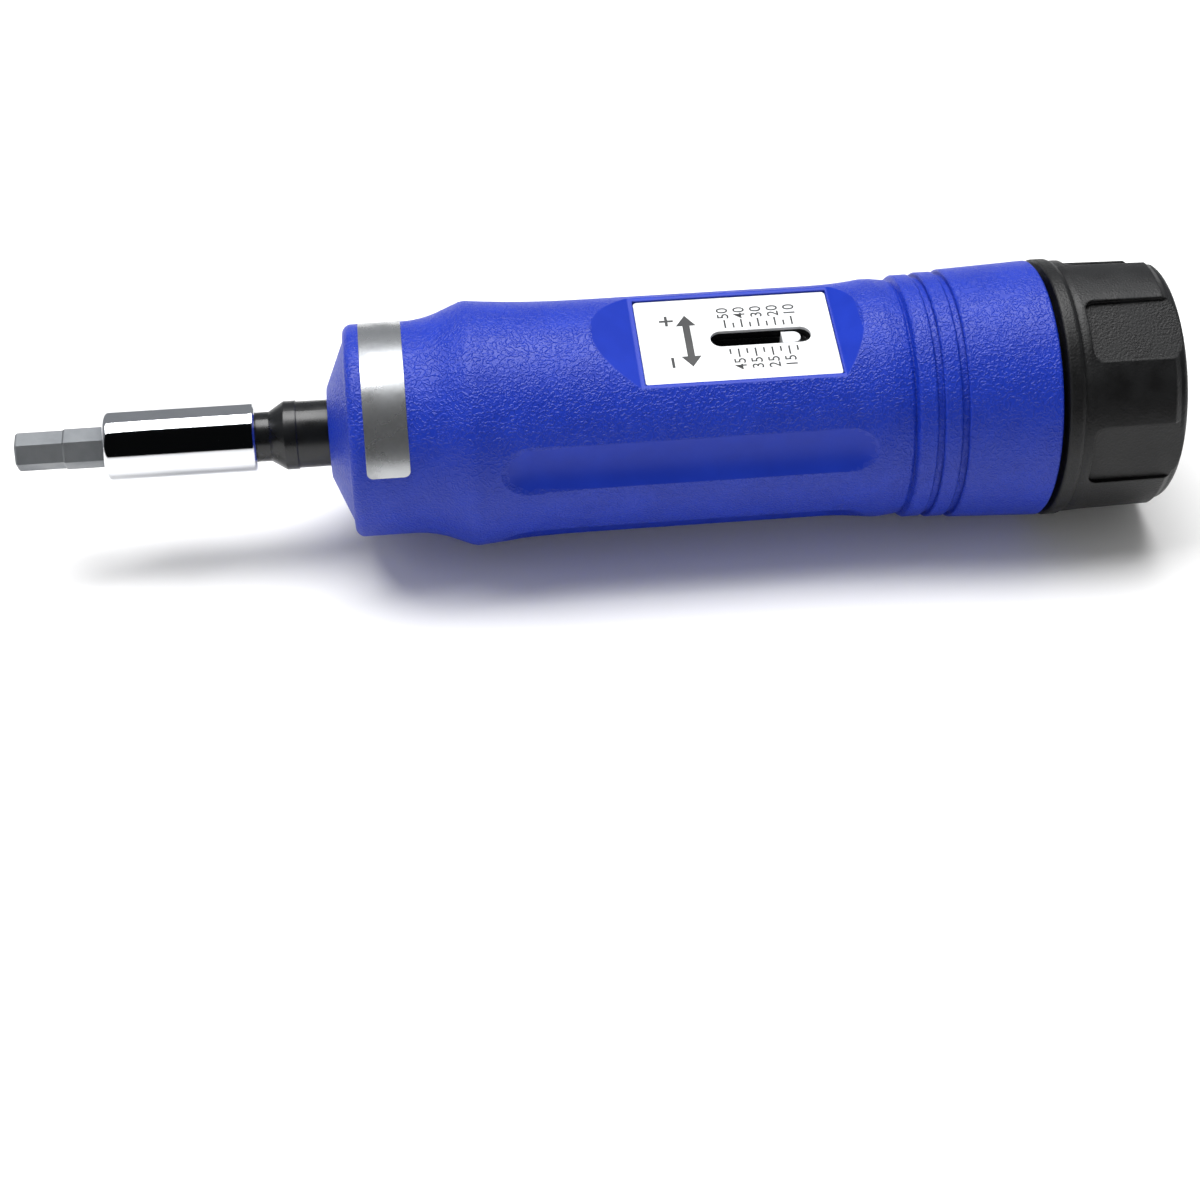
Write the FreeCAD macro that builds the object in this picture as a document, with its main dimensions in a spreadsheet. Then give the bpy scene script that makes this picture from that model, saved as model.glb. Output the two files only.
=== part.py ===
import FreeCAD, Part
import math
import os
import re

import Sketcher

# Adjustable torque screwdriver. Stations run along the driver's axis in millimetres from the
# front face of the handle: the bit points to -X and the adjusting knob is at +X.
SIZES = {
    # bit and bit holder
    "bit_length": (25.0, "whole length of the insert bit"),
    "bit_reach": (15.7, "how far the bit stands out of the holder"),
    "hex_across": (6.35, "bit shank, across flats"),
    "bit_tip_across": (6.0, "working tip, across flats"),
    "bit_tip_length": (8.4, "length of the working tip"),
    "bit_step": (0.3, "slope between tip and shank"),
    "bit_bevel": (0.35, "bevel round the bit's ends"),
    "bit_turn": (-6.0, "degrees that the bit and its socket are turned about the axis"),
    "holder_length": (26.8, "chromed bit holder"),
    "holder_radius": (6.25, "chromed bit holder"),
    "holder_front_round": (1.0, "round on the holder's mouth"),
    "holder_rear_bevel": (0.4, "bevel on the holder's rear edge"),
    "holder_offset": (13.05, "rear of the holder to the handle's front face"),
    "magnet_length": (2.0, "magnet behind the bit"),
    "magnet_radius": (2.7, "magnet behind the bit"),
    # spindle
    "drive_across": (6.3, "square drive, across flats"),
    "drive_length": (8.0, "square drive"),
    "socket_gap": (0.05, "clearance on each side of a drive in its socket"),
    "neck_radius": (4.45, "thin neck behind the holder"),
    "neck_length": (2.4, "thin neck behind the holder"),
    "spindle_cone_length": (2.7, "cone between neck and band"),
    "spindle_band_radius": (6.18, "wide band behind the cone"),
    "spindle_band_length": (2.2, "wide band behind the cone"),
    "spindle_radius": (6.0, "shaft that runs in the nose bush"),
    "flange_radius": (13.0, "cam flange"),
    "flange_thickness": (6.0, "cam flange"),
    "pilot_radius": (4.0, "pilot that centres the pressure plate"),
    "pilot_length": (5.5, "pilot that centres the pressure plate"),
    # detent of the square drive
    "detent_ball_radius": (1.2, "detent ball"),
    "detent_proud": (0.5, "how far the detent ball stands out of the drive"),
    "detent_depth": (4.6, "depth of the detent's hole"),
    "detent_wire": (0.26, "wire of the detent spring, square"),
    "detent_turns": (3.5, "turns of the detent spring"),
    # handle, outside
    "handle_length": (128.45, "blue handle"),
    "nose_radius": (8.1, "front face"),
    "nose_cone_length": (3.45, "front cone"),
    "nose_cone_radius": (16.3, "front cone at its foot"),
    "band_radius": (19.1, "plain band that carries the foil label"),
    "band_length": (14.0, "front face to the end of the plain band"),
    "shoulder_round": (1.7, "round on the front shoulder"),
    "flare_length": (6.0, "hollow curve behind the band"),
    "flare_rise": (1.0, "hollow curve behind the band"),
    "ridge_station": (25.05, "finger ridge"),
    "ridge_radius": (22.15, "finger ridge"),
    "ridge_round": (4.0, "round on the finger ridge"),
    "waist_radius": (21.1, "grip"),
    "waist_front": (45.0, "front end of the straight grip"),
    "waist_rear": (88.15, "rear end of the straight grip"),
    "heel_station": (97.75, "rear swell of the grip"),
    "heel_radius": (21.75, "rear swell of the grip"),
    "heel_length": (1.4, "rear swell of the grip"),
    "dip_station": (102.15, "low line in front of the first ring"),
    "dip_radius": (21.35, "low line in front of the first ring"),
    "ring_width": (3.15, "each raised ring"),
    "ring_front_radius": (22.15, "first raised ring"),
    "ring_rear_radius": (22.4, "second raised ring"),
    "groove_width": (1.15, "grooves between the rings"),
    "groove_depth": (0.65, "grooves between the rings"),
    "tail_front_radius": (22.7, "rear part of the handle, at its front"),
    "tail_flare": (0.7, "how much the handle widens to its rear"),
    "edge_break": (0.3, "small bevels on moulded edges"),
    # flutes
    "flute_front": (31.15, "front end of the flutes"),
    "flute_rear": (94.65, "rear end of the flutes"),
    "flute_half_width": (4.2, "half the width of a flute at the surface"),
    "flute_depth": (1.35, "depth of a flute"),
    "flute_start": (69.0, "degrees from the window to the first flute"),
    "flute_pitch": (55.5, "degrees between flutes"),
    # window, label plate and slot
    "window_roll": (11.0, "degrees that the window leans to the front"),
    "pocket_distance": (17.8, "axis to the window's flat floor"),
    "pocket_front": (54.65, "front foot of the floor"),
    "pocket_rear": (90.75, "rear foot of the floor"),
    "ramp_front_length": (7.9, "front ramp, to the grip's surface"),
    "ramp_rear_length": (4.0, "rear ramp, to the grip's surface"),
    "plate_distance": (17.5, "axis to the plate's printed face"),
    "plate_front": (55.55, "front edge of the scale plate"),
    "plate_length": (34.8, "scale plate"),
    "plate_width": (20.8, "scale plate"),
    "plate_thickness": (0.6, "scale plate"),
    "plate_corner": (0.8, "round on the plate's corners"),
    "plate_gap": (0.1, "clearance round the scale plate"),
    "slot_front": (68.25, "front end of the window slot"),
    "slot_length": (18.0, "window slot"),
    "slot_width": (3.8, "window slot"),
    "slot_rim": (0.3, "rim of the tube seen inside the slot"),
    # foil label
    "foil_front": (6.35, "front edge of the foil label"),
    "foil_rear": (13.9, "rear edge of the foil label"),
    "foil_angle": (130.0, "degrees that the foil label wraps"),
    "foil_start": (60.0, "degrees from the window to the label's far end"),
    "foil_thickness": (0.12, "foil label"),
    # handle, inside
    "nose_lip": (2.0, "wall in front of the nose bush"),
    "bush_length": (12.0, "nose bush"),
    "bush_wall": (2.0, "nose bush"),
    "tube_radius": (15.6, "outside of the barrel tube"),
    "tube_wall": (1.2, "barrel tube"),
    "tube_floor": (3.0, "front wall of the barrel tube"),
    "tube_length": (101.0, "barrel tube"),
    "counterbore_radius": (20.3, "wide bore at the handle's rear"),
    "running_gap": (0.05, "radial clearance of a running fit"),
    "nose_gap": (0.3, "radial clearance of the spindle in front of and behind its bush"),
    "end_gap": (0.1, "axial clearance between pieces that turn"),
    "washer_thickness": (1.5, "front thrust washer"),
    # clutch
    "roller_radius": (2.0, "clutch rollers"),
    "roller_length": (4.4, "clutch rollers"),
    "roller_circle": (10.0, "axis to the middle of a roller"),
    "roller_count": (8, "clutch rollers"),
    "roller_gap": (0.05, "clearance of the rollers"),
    "groove_sink": (0.7, "depth of the grooves in the cam flange"),
    "lift_gap": (1.0, "pressure plate to cam flange, rollers on the crest"),
    "pressure_thickness": (6.0, "pressure plate"),
    "slide_gap": (0.25, "radial clearance of pieces that slide in the tube"),
    "pin_radius": (1.5, "anti-rotation pins"),
    "pin_reach": (12.4, "axis to the inner end of the pins"),
    "seat_thickness": (1.8, "spring seat"),
    "seat_boss_length": (2.6, "boss that centres the main spring"),
    # main spring, indicator and nut
    "wire_width": (3.2, "square wire of the main spring"),
    "coil_radius": (10.0, "main spring, to the middle of the wire"),
    "coil_turns": (7.0, "turns of the main spring"),
    "coil_gap": (0.05, "main spring to the faces that it presses"),
    "nut_front": (79.0, "front face of the indicator nut at this setting"),
    "nut_spigot": (2.05, "spigot that carries the indicator sleeve"),
    "nut_length": (18.5, "indicator nut"),
    "sleeve_length": (17.0, "indicator sleeve"),
    "sleeve_wall": (1.85, "indicator sleeve"),
    "key_width": (3.0, "guide key"),
    "key_height": (1.6, "guide key"),
    "key_front": (69.5, "front end of the guide key"),
    "key_rear": (100.5, "rear end of the guide key"),
    "key_gap": (0.15, "clearance of the key in its keyway"),
    # adjusting screw and its bearing
    "screw_radius": (4.9, "threaded part of the adjusting screw"),
    "thread_gap": (0.1, "clearance in the nut's bore"),
    "screw_front": (62.0, "front end of the adjusting screw"),
    "circlip_setback": (0.8, "rear of the barrel tube to the retaining ring"),
    "collar_radius": (9.0, "screw's collar"),
    "collar_length": (1.9, "screw's collar"),
    "journal_radius": (6.0, "screw's journal"),
    "rear_washer_thickness": (1.2, "rear thrust washer"),
    "rear_plate_thickness": (5.8, "bearing plate at the tube's rear"),
    "circlip_thickness": (1.2, "retaining ring"),
    "circlip_depth": (0.6, "groove of the retaining ring"),
    "circlip_width": (2.2, "radial width of the retaining ring"),
    "circlip_gap_angle": (50.0, "degrees between the retaining ring's ends"),
    "tail_across": (8.0, "hexagonal tail, across flats"),
    # lock and knob
    "tooth_count": (20, "face teeth of the lock"),
    "tooth_height": (0.8, "face teeth of the lock"),
    "tooth_foot": (1.3, "half the width of a tooth gap at its floor"),
    "tooth_mouth": (1.9, "half the width of a tooth gap at its mouth"),
    "tooth_gap": (0.2, "clearance of the teeth with the knob drawn back"),
    "lock_wall": (3.9, "radial width of the face teeth"),
    "lock_length": (6.0, "lock ring"),
    "knob_gap": (1.1, "open gap between handle and knob"),
    "knob_length": (22.1, "knob, from the gap to its end face"),
    "knob_step": (0.1, "how far the knob's collar stands out past the handle"),
    "knob_collar_length": (2.5, "knob's collar"),
    "knob_dip_drop": (0.6, "depth of the low line behind the knob's collar"),
    "knob_dip_length": (0.6, "collar to the low line behind it"),
    "lobe_front_drop": (0.4, "knob's collar down to its lobes, at their front"),
    "lobe_rear_drop": (0.7, "knob's collar down to its lobes, at their rear"),
    "knob_chamfer_length": (1.3, "bevel at the knob's rear"),
    "knob_end_drop": (1.6, "knob's collar down to the small end of the bevel"),
    "knob_end_round": (1.5, "round on the knob's end face"),
    "recess_count": (6, "finger recesses of the knob"),
    "knob_turn": (19.0, "degrees from the window to the first recess"),
    "recess_setback": (4.8, "front of the knob to the front of a recess"),
    "recess_half_width": (5.9, "half the width of a recess"),
    "recess_depth": (2.1, "knob's collar down to the flat floor of a recess"),
    "recess_corner": (1.8, "round on the corners of a recess"),
    "boss_gap": (0.4, "radial clearance of the knob's boss"),
    "web_setback": (10.0, "rear of the lock ring to the knob's web"),
    "web_thickness": (6.0, "knob's web"),
    "pull_travel": (3.0, "how far the knob draws back to unlock"),
    "cavity_radius": (14.0, "hollow behind the knob's web"),
    "cap_radius": (15.2, "end cap"),
    "cap_setback": (0.4, "knob's end face to the cap's face"),
    "cap_thickness": (2.0, "end cap"),
    "ring_section": (0.95, "radius of the O-ring's section"),
    "ring_offset": (4.0, "front of the knob's boss to the O-ring"),
    "end_washer_radius": (7.0, "washer that holds the knob on"),
    "end_washer_thickness": (1.5, "washer that holds the knob on"),
    "end_screw_radius": (2.0, "screw that holds the washer"),
    "end_screw_length": (10.0, "screw that holds the washer, under its head"),
    "end_head_radius": (3.5, "head of the end screw"),
    "end_head_length": (3.0, "head of the end screw"),
    "end_key_across": (2.5, "hexagonal socket of the end screw"),
}

# Stations and radii that follow from the sizes above.
PLACES = {
    "holder_rear": "-holder_offset",
    "holder_front": "holder_rear - holder_length",
    "bit_front": "holder_front - bit_reach",
    "bit_rear": "bit_front + bit_length",
    "magnet_rear": "bit_rear + magnet_length",
    "drive_front": "holder_rear - drive_length",
    "detent_station": "holder_rear - drive_length / 2",
    "detent_seat": "drive_across / 2 + detent_proud - detent_ball_radius",
    "cone_front": "holder_rear + neck_length",
    "cone_rear": "cone_front + spindle_cone_length",
    "spindle_band_rear": "cone_rear + spindle_band_length",
    "flare_rear": "band_length + flare_length",
    "dip_groove_rear": "dip_station + groove_width",
    "ring_one_rear": "dip_groove_rear + ring_width",
    "ring_two_front": "ring_one_rear + groove_width",
    "ring_two_rear": "ring_two_front + ring_width",
    "tail_front": "ring_two_rear + groove_width",
    "tail_rear_radius": "tail_front_radius + tail_flare",
    "knob_radius": "tail_rear_radius + knob_step",
    "knob_dip_radius": "knob_radius - knob_dip_drop",
    "lobe_front_radius": "knob_radius - lobe_front_drop",
    "lobe_rear_radius": "knob_radius - lobe_rear_drop",
    "knob_end_radius": "knob_radius - knob_end_drop",
    "recess_distance": "knob_radius - recess_depth",
    "tube_front": "nose_lip + bush_length",
    "tube_inside": "tube_front + tube_floor",
    "tube_rear": "tube_front + tube_length",
    "tube_bore": "tube_radius - tube_wall",
    "flange_front": "tube_inside + washer_thickness + end_gap",
    "flange_rear": "flange_front + flange_thickness",
    "roller_station": "flange_rear + roller_radius + roller_gap",
    "pressure_front": "flange_rear + lift_gap",
    "pressure_rear": "pressure_front + pressure_thickness",
    "pin_station": "pressure_front + pressure_thickness / 2",
    "pin_outer": "sqrt(tube_radius ^ 2 - pin_radius ^ 2)",
    "slide_radius": "tube_bore - slide_gap",
    "seat_rear": "pressure_rear + seat_thickness",
    "sleeve_rear": "nut_front + nut_spigot",
    "sleeve_front": "sleeve_rear - sleeve_length",
    "sleeve_bore": "slide_radius - sleeve_wall",
    "nut_rear": "nut_front + nut_length",
    "key_outer": "sqrt(tube_bore ^ 2 - key_width ^ 2 / 4)",
    "circlip_rear": "tube_rear - circlip_setback",
    "rear_plate_rear": "circlip_rear - circlip_thickness",
    "rear_plate_front": "rear_plate_rear - rear_plate_thickness",
    "rear_washer_front": "rear_plate_front - rear_washer_thickness",
    "collar_rear": "rear_washer_front - end_gap",
    "collar_front": "collar_rear - collar_length",
    "circlip_outer": "tube_bore + circlip_depth",
    "lock_inner": "counterbore_radius - lock_wall",
    "lock_rear": "tube_rear + lock_length",
    "boss_front": "lock_rear + tooth_gap",
    "boss_radius": "counterbore_radius - boss_gap",
    "knob_front": "handle_length + knob_gap",
    "knob_rear": "knob_front + knob_length",
    "knob_collar_rear": "knob_front + knob_collar_length",
    "recess_front": "knob_front + recess_setback",
    "web_front": "lock_rear + web_setback",
    "web_rear": "web_front + web_thickness",
    "screw_rear": "web_rear + pull_travel + end_gap",
    "head_front": "screw_rear + end_washer_thickness",
    "cap_rear": "knob_rear - cap_setback",
    "cap_front": "cap_rear - cap_thickness",
    "ring_station": "boss_front + ring_offset",
    "slot_rear": "slot_front + slot_length",
    "plate_rear": "plate_front + plate_length",
    "plate_floor": "plate_distance - plate_thickness",
}

DOC = FreeCAD.newDocument("torque_screwdriver")
SHEET = DOC.addObject("Spreadsheet::Sheet", "sizes")
NODES = []


def fill_sheet():
    """Write every size into the sheet: its meaning, its value and its alias."""
    for row, (alias, (value, meaning)) in enumerate(SIZES.items(), 1):
        SHEET.set(f"A{row}", meaning)
        SHEET.set(f"B{row}", str(value))
        SHEET.setAlias(f"B{row}", alias)
    DOC.recompute()


def linked(formula):
    """Spell a formula of sizes and places out as an expression on the sheet's cells."""
    def spell(match):
        word = match.group(0)
        if word in PLACES:
            return f"({linked(PLACES[word])})"
        return f"sizes.{word}" if word in SIZES else word

    return re.sub(r"[a-z_]+", spell, str(formula))


def value(formula):
    """The number that a formula of sizes and places comes to."""
    return float(SHEET.evalExpression(linked(formula)))


def new_body(label):
    """A body on the driver's axis, which lies level at the height of the knob's radius."""
    body = DOC.addObject("PartDesign::Body", label)
    body.Label = label
    shift = linked("-(bit_front + knob_rear) / 2")
    turn = linked("window_roll")
    height = linked("knob_radius")
    body.setExpression(
        "Placement",
        f"placement(vector({shift}; 0; {height}); rotation(vector(1; 0; 0); {turn}))",
    )
    NODES.append(body)
    return body


def new_sketch(body, name, plane="XZ_Plane", offset=("0", "0", "0"), turn="0"):
    """A sketch on one of the body's own planes, moved by formulas in the plane's axes."""
    sketch = body.newObject("Sketcher::SketchObject", name)
    home = [item for item in body.Origin.OriginFeatures if item.Role == plane]
    sketch.AttachmentSupport = [(home[0], "")]
    sketch.MapMode = "FlatFace"
    x, y, z = (linked(part) for part in offset)
    sketch.setExpression(
        "AttachmentOffset",
        f"placement(vector({x}; {y}; {z}); rotation(vector(1; 0; 0); {linked(turn)}))",
    )
    return sketch


def bind(sketch, kind, *target):
    """Add a constraint whose last item is a formula, and tie it to the sheet."""
    *where, formula = target
    number = sketch.addConstraint(Sketcher.Constraint(kind, *where, value(formula)))
    sketch.setExpression(f"Constraints[{number}]", linked(formula))


def arc_between(start, end, radius, side):
    """Arc from start to end; side is 1 when its centre lies left of the chord, else -1."""
    chord = end - start
    reach = math.sqrt(max(radius ** 2 - chord.Length ** 2 / 4, 0))
    left = FreeCAD.Vector(-chord.y, chord.x, 0).normalize()
    centre = (start + end) / 2 + left * reach * side
    angles = [math.atan2(p.y - centre.y, p.x - centre.x) for p in (start, end)]
    if side < 0:
        angles.reverse()
    circle = Part.Circle(centre, FreeCAD.Vector(0, 0, 1), radius)
    return Part.ArcOfCircle(circle, *angles)


def outline(sketch, corners, arcs=None):
    """Closed outline through corners, each a pair of formulas.

    arcs maps the number of a corner to (radius formula, side) for the stretch that
    starts there; the other stretches are straight.
    """
    arcs = arcs or {}
    spots = [FreeCAD.Vector(value(x), value(y), 0) for x, y in corners]
    first = sketch.GeometryCount
    count = len(corners)
    ends = []
    for n, spot in enumerate(spots):
        following = spots[(n + 1) % count]
        if n in arcs:
            radius, side = arcs[n]
            sketch.addGeometry(arc_between(spot, following, value(radius), side))
            bind(sketch, "Radius", first + n, radius)
            ends.append((1, 2) if side > 0 else (2, 1))
        else:
            sketch.addGeometry(Part.LineSegment(spot, following))
            ends.append((1, 2))
    for n, (x, y) in enumerate(corners):
        before = (n - 1) % count
        joint = Sketcher.Constraint("Coincident", first + before, ends[before][1], first + n, ends[n][0])
        sketch.addConstraint(joint)
        bind(sketch, "DistanceX", -1, 1, first + n, ends[n][0], x)
        bind(sketch, "DistanceY", -1, 1, first + n, ends[n][0], y)
    return sketch


def ring(sketch, x, y, radius):
    """A full circle in a sketch."""
    spot = FreeCAD.Vector(value(x), value(y), 0)
    number = sketch.addGeometry(Part.Circle(spot, FreeCAD.Vector(0, 0, 1), value(radius)))
    bind(sketch, "Radius", number, radius)
    bind(sketch, "DistanceX", -1, 1, number, 3, x)
    bind(sketch, "DistanceY", -1, 1, number, 3, y)
    return sketch


def box_corners(x_low, x_high, y_low, y_high):
    """The four corners of a rectangle, anticlockwise."""
    return [(x_low, y_low), (x_high, y_low), (x_high, y_high), (x_low, y_high)]


def slot_outline(sketch, front, rear, width):
    """A slot along X with full round ends."""
    half = f"({width}) / 2"
    near, far = f"{front} + {half}", f"{rear} - {half}"
    corners = [(near, f"-{half}"), (far, f"-{half}"), (rear, "0"), (far, half), (near, half), (front, "0")]
    return outline(sketch, corners, {n: (half, 1) for n in (1, 2, 4, 5)})


def half_disc(sketch, station, radius):
    """Half a disc on the sketch's X axis, which turns into a ball."""
    corners = [(f"{station} - ({radius})", "0"), (f"{station} + {radius}", "0"), (station, radius)]
    return outline(sketch, corners, {1: (radius, 1), 2: (radius, 1)})


def hexagon(sketch, across, turn="0"):
    """A hexagon round the axis; its first corner is turned from the sketch's X."""
    corners = []
    for n in range(6):
        angle = f"(60 * {n} + {turn})"
        corner_radius = f"({across}) / 2 / cos(30)"
        corners.append((f"{corner_radius} * cos({angle})", f"{corner_radius} * sin({angle})"))
    return outline(sketch, corners)


def square(sketch, across):
    """A square round the axis."""
    half = f"({across}) / 2"
    return outline(sketch, box_corners(f"-{half}", half, f"-{half}", half))


def feature(body, kind, name, profile, **settings):
    """A PartDesign feature of a profile; settings that are formulas are tied to the sheet."""
    item = body.newObject(f"PartDesign::{kind}", name)
    item.Profile = profile
    for key, setting in settings.items():
        if isinstance(setting, str):
            item.setExpression(key, linked(setting))
        else:
            setattr(item, key, setting)
    profile.Visibility = False
    return item


def turned(body, name, corners, arcs=None, cut=False, rings=()):
    """A turned form, or a turned cut, round the body's X axis."""
    sketch = new_sketch(body, f"{name}_profile")
    outline(sketch, corners, arcs)
    kind = "Groove" if cut else "Revolution"
    return feature(body, kind, name, sketch, ReferenceAxis=(sketch, ["H_Axis"]), Angle=360.0)


def drawn_along(body, name, draw, station, length, cut=False):
    """Pad or pocket of a cross-section, from a station towards +X."""
    sketch = new_sketch(body, f"{name}_section", "YZ_Plane", ("0", "0", station))
    draw(sketch)
    if cut:
        return feature(body, "Pocket", name, sketch, Length=length, Reversed=True)
    return feature(body, "Pad", name, sketch, Length=length)


def cut_outward(body, name, draw, distance, length, turn="0"):
    """Pocket of an outline that starts at a distance from the axis and runs outwards.

    turn is the angle of the cut from the window, towards -Y.
    """
    offset = ("0", f"-({distance}) * sin({turn})", f"({distance}) * cos({turn})")
    sketch = new_sketch(body, f"{name}_outline", "XY_Plane", offset, turn)
    draw(sketch)
    return feature(body, "Pocket", name, sketch, Length=length, Reversed=True)


def around(body, name, originals, count, angle="360"):
    """Repeat features round the body's X axis."""
    pattern = body.newObject("PartDesign::PolarPattern", name)
    pattern.Originals = originals
    axis = [item for item in body.Origin.OriginFeatures if item.Role == "X_Axis"]
    pattern.Axis = (axis[0], [""])
    pattern.setExpression("Angle", linked(angle))
    pattern.setExpression("Occurrences", linked(count))
    body.Tip = pattern
    return pattern


def is_ring_edge(edge, places):
    """Whether an edge is a circle round the axis at one of the (station, radius) places."""
    if not isinstance(edge.Curve, Part.Circle):
        return False
    centre, radius = edge.Curve.Center, edge.Curve.Radius
    if math.hypot(centre.y, centre.z) > 0.01:
        return False
    return any(abs(centre.x - x) < 0.01 and abs(radius - r) < 0.01 for x, r in places)


def rounded(body, name, size, *places, kind="Fillet"):
    """Round or bevel the circular edges at the given (station, radius) places."""
    DOC.recompute()
    base = body.Tip
    spots = [(value(x), value(r)) for x, r in places]
    edges = [f"Edge{n}" for n, e in enumerate(base.Shape.Edges, 1) if is_ring_edge(e, spots)]
    item = body.newObject(f"PartDesign::{kind}", name)
    item.Base = (base, edges)
    item.setExpression("Radius" if kind == "Fillet" else "Size", linked(size))
    return item


def simple_ring(label, front, rear, inner, outer):
    """A plain turned ring, such as a washer or a bush."""
    body = new_body(label)
    turned(body, f"{label}_ring", box_corners(front, rear, inner, outer))
    return body


def coil(body, name, corners, height, turns, axis):
    """A spring of square wire: a section that winds up round an axis line of its sketch."""
    sketch = new_sketch(body, f"{name}_section")
    outline(sketch, corners)
    line = "H_Axis"
    if axis != "0":
        line = "Axis0"
        spots = [FreeCAD.Vector(value(axis), y, 0) for y in (0, 1)]
        number = sketch.addGeometry(Part.LineSegment(*spots), True)
        sketch.addConstraint(Sketcher.Constraint("Vertical", number))
        bind(sketch, "DistanceX", -1, 1, number, 1, axis)
        bind(sketch, "DistanceY", -1, 1, number, 1, "0")
        bind(sketch, "DistanceY", number, 1, number, 2, "1")
    item = body.newObject("PartDesign::AdditiveHelix", name)
    item.Profile = sketch
    item.ReferenceAxis = (sketch, [line])
    item.Mode = "height-turns-angle"
    item.setExpression("Height", linked(height))
    item.setExpression("Turns", linked(turns))
    sketch.Visibility = False
    return item


def make_handle_shell():
    body = new_body("handle_shell")
    tail_groove = "ring_rear_radius - groove_depth"
    nose_hole = "spindle_radius + nose_gap"
    corners = [
        ("0", nose_hole),
        ("0", "nose_radius"),
        ("nose_cone_length", "nose_cone_radius"),
        ("nose_cone_length + running_gap", "band_radius"),
        ("band_length", "band_radius"),
        ("flare_rear", "band_radius + flare_rise"),
        ("ridge_station", "ridge_radius"),
        ("waist_front", "waist_radius"),
        ("waist_rear", "waist_radius"),
        ("heel_station", "heel_radius"),
        ("heel_station + heel_length", "heel_radius"),
        ("dip_station", "dip_radius"),
        ("dip_station + groove_width / 2", "dip_radius - groove_depth * 2 / 3"),
        ("dip_groove_rear", "ring_front_radius"),
        ("ring_one_rear", "ring_front_radius"),
        ("ring_one_rear", "ring_front_radius - groove_depth"),
        ("ring_two_front", "ring_front_radius - groove_depth"),
        ("ring_two_front", "ring_rear_radius"),
        ("ring_two_rear", "ring_rear_radius"),
        ("ring_two_rear", tail_groove),
        ("tail_front", tail_groove),
        ("tail_front", "tail_front_radius"),
        ("handle_length", "tail_rear_radius"),
        ("handle_length", "counterbore_radius"),
        ("tube_rear", "counterbore_radius"),
        ("tube_rear", "tube_radius"),
        ("tube_front", "tube_radius"),
        ("tube_front", "spindle_radius + bush_wall"),
        ("nose_lip", "spindle_radius + bush_wall"),
        ("nose_lip", nose_hole),
    ]
    flare = "(flare_length ^ 2 + flare_rise ^ 2) / 2 / flare_rise"
    ridge_fall = "(ridge_radius - waist_radius)"
    ridge_run = "(waist_front - ridge_station)"
    heel_rise = "(heel_radius - waist_radius)"
    heel_run = "(heel_station - waist_rear)"
    arcs = {
        4: (flare, 1),
        6: (f"({ridge_run} ^ 2 + {ridge_fall} ^ 2) / 2 / {ridge_fall}", 1),
        8: (f"({heel_run} ^ 2 + {heel_rise} ^ 2) / 2 / {heel_rise}", 1),
    }
    turned(body, "shell_form", corners, arcs)
    rounded(body, "shoulder_edge", "shoulder_round", ("nose_cone_length + running_gap", "band_radius"))
    rounded(body, "ridge_edge", "ridge_round", ("ridge_station", "ridge_radius"))
    rounded(
        body, "ring_edges", "edge_break",
        ("dip_groove_rear", "ring_front_radius"), ("ring_one_rear", "ring_front_radius"),
        ("ring_two_front", "ring_rear_radius"), ("ring_two_rear", "ring_rear_radius"),
        ("tail_front", "tail_front_radius"), ("handle_length", "tail_rear_radius"),
        kind="Chamfer",
    )
    cut_window(body)
    cut_flutes(body)


def cut_window(body):
    """Flat-floored pocket with a ramp at each end, the plate's recess and the slot."""
    side = new_sketch(body, "window_side")
    top = "2 * waist_radius - pocket_distance"
    rise = f"({top} - pocket_distance)"
    front_slope = "(waist_radius - pocket_distance) / ramp_front_length"
    rear_slope = "(waist_radius - pocket_distance) / ramp_rear_length"
    outline(side, [
        ("pocket_front", "pocket_distance"),
        ("pocket_rear", "pocket_distance"),
        (f"pocket_rear + {rise} / ({rear_slope})", top),
        (f"pocket_front - {rise} / ({front_slope})", top),
    ])
    feature(body, "Pocket", "window_pocket", side, Length="4 * waist_radius", Midplane=True)

    def plate_recess(sketch):
        reach = "plate_width / 2 + plate_gap"
        near, far = "plate_front - plate_gap", "plate_rear + plate_gap"
        outline(sketch, box_corners(near, far, f"-({reach})", reach))

    def window_slot(sketch):
        slot_outline(sketch, "slot_front", "slot_rear", "slot_width")

    cut_outward(body, "plate_recess", plate_recess, "plate_floor", "waist_radius")
    cut_outward(body, "window_slot", window_slot, "tube_bore", "waist_radius")


def cut_flutes(body):
    """Five scooped flutes with round ends, spaced evenly round the side away from the window."""
    floor = "(waist_radius - flute_depth)"
    edge = "sqrt(waist_radius ^ 2 - flute_half_width ^ 2)"
    sag = f"({edge} - {floor})"
    scoop = f"(({sag} ^ 2 + flute_half_width ^ 2) / 2 / {sag})"
    distance = f"({floor} + {scoop})"
    sketch = new_sketch(
        body, "flute_profile",
        offset=("0", f"{distance} * cos(flute_start)", f"{distance} * sin(flute_start)"),
    )
    front, rear = "(flute_front + flute_half_width)", "(flute_rear - flute_half_width)"
    outline(sketch, [
        (f"{front} - {scoop}", "0"),
        (f"{rear} + {scoop}", "0"),
        (rear, scoop),
        (front, scoop),
    ], {1: (scoop, 1), 3: (scoop, 1)})
    flute = feature(body, "Groove", "flute", sketch, ReferenceAxis=(sketch, ["H_Axis"]), Angle=360.0)
    around(body, "flutes", [flute], "5", "4 * flute_pitch")


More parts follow.
